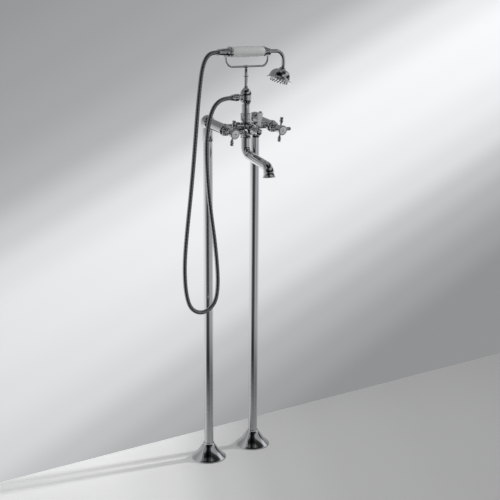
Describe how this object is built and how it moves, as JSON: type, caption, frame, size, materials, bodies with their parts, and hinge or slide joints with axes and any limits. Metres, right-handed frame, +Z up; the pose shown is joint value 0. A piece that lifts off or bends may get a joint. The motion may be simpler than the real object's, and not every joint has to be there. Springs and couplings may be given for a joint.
{
  "type": "floor standing bath filler",
  "caption": "Floor standing bath filler with standpipes on bell covers, cross handles, lever diverter, swan-neck spout and a telephone handset with its hose on a cradle.",
  "frame": {"origin": "on the floor midway between the axes of the two standpipes, the centre of the four floor screws", "axes": "+Z up, -Y to the front, where the spout points, +X to the right as seen from the front"},
  "size_m": [0.3372, 0.2214, 1.1022],
  "materials": {
    "chrome": "polished",
    "hose_chrome": "polished, finely ribbed",
    "white_ceramic": "glossy",
    "brass": "machined",
    "disc_ceramic": "lapped",
    "seal_rubber": "matt",
    "screw_steel": "satin",
    "white_plastic": "satin"
  },
  "bodies": {
    "root": {"bell_cover_left": "chrome", "bell_cover_right": "chrome", "cartridge_left": "brass", "cartridge_right": "brass", "cradle": "chrome", "diverter_bonnet": "chrome", "fixed_discs": "disc_ceramic", "floor_socket_left": "brass", "floor_socket_right": "brass", "hose_nut_lower": "chrome", "hose_union": "chrome", "joint_washers": "seal_rubber", "mixer_body": "chrome", "pillar_sleeve_left": "chrome", "pillar_sleeve_right": "chrome", "pipe_grub_screws": "screw_steel", "riser_base": "chrome", "riser_bulb": "chrome", "riser_nut": "chrome", "shower_hose": "hose_chrome", "spout_nut": "chrome", "standpipe_left": "chrome", "standpipe_right": "chrome", "standpipe_seals": "seal_rubber", "union_nut_left": "chrome", "union_nut_right": "chrome", "valve_body_left": "chrome", "valve_body_right": "chrome", "valve_bonnet_left": "chrome", "valve_bonnet_right": "chrome"},
    "hot_handle": {"cross_handle_left": "chrome", "index_bezel_left": "chrome", "index_disc_left": "white_ceramic", "handle_screw_left": "screw_steel", "spindle_left": "brass", "turning_disc_left": "disc_ceramic"},
    "cold_handle": {"cross_handle_right": "chrome", "index_bezel_right": "chrome", "index_disc_right": "white_ceramic", "handle_screw_right": "screw_steel", "spindle_right": "brass", "turning_disc_right": "disc_ceramic"},
    "diverter": {"lever_hub": "chrome", "ceramic_lever": "white_ceramic", "lever_cap": "chrome", "diverter_spindle": "brass"},
    "spout": {"spout": "chrome", "spout_seals": "seal_rubber", "stream_former": "white_plastic"},
    "handset": {"hose_nut_upper": "chrome", "grip_ring_rear": "chrome", "grip_tube": "brass", "ceramic_grip": "white_ceramic", "grip_ring_front": "chrome", "handset_neck": "chrome", "rose_body": "chrome", "rose_plate": "chrome"}
  },
  "joints": [
    {"name": "hot_turn", "type": "hinge", "parent": "root", "child": "hot_handle", "pos_m": [-0.075, 0, 0.91204], "axis": [0, -0.9863, -0.165], "range_deg": [0, 90]},
    {"name": "cold_turn", "type": "hinge", "parent": "root", "child": "cold_handle", "pos_m": [0.075, 0, 0.91204], "axis": [0, -0.9863, -0.165], "range_deg": [-90, 0]},
    {"name": "diverter_turn", "type": "hinge", "parent": "root", "child": "diverter", "pos_m": [0, -0.06, 0.902], "axis": [0, -0.9863, -0.165], "range_deg": [-45, 45]},
    {"name": "spout_swivel", "type": "hinge", "parent": "root", "child": "spout", "pos_m": [0, -0.06, 0.85], "axis": [0, 0, 1], "range_deg": [-60, 60]},
    {"name": "handset_lift", "type": "slide", "parent": "root", "child": "handset", "axis": [0, 0, 1], "range_m": [0, 0.045]}
  ]
}
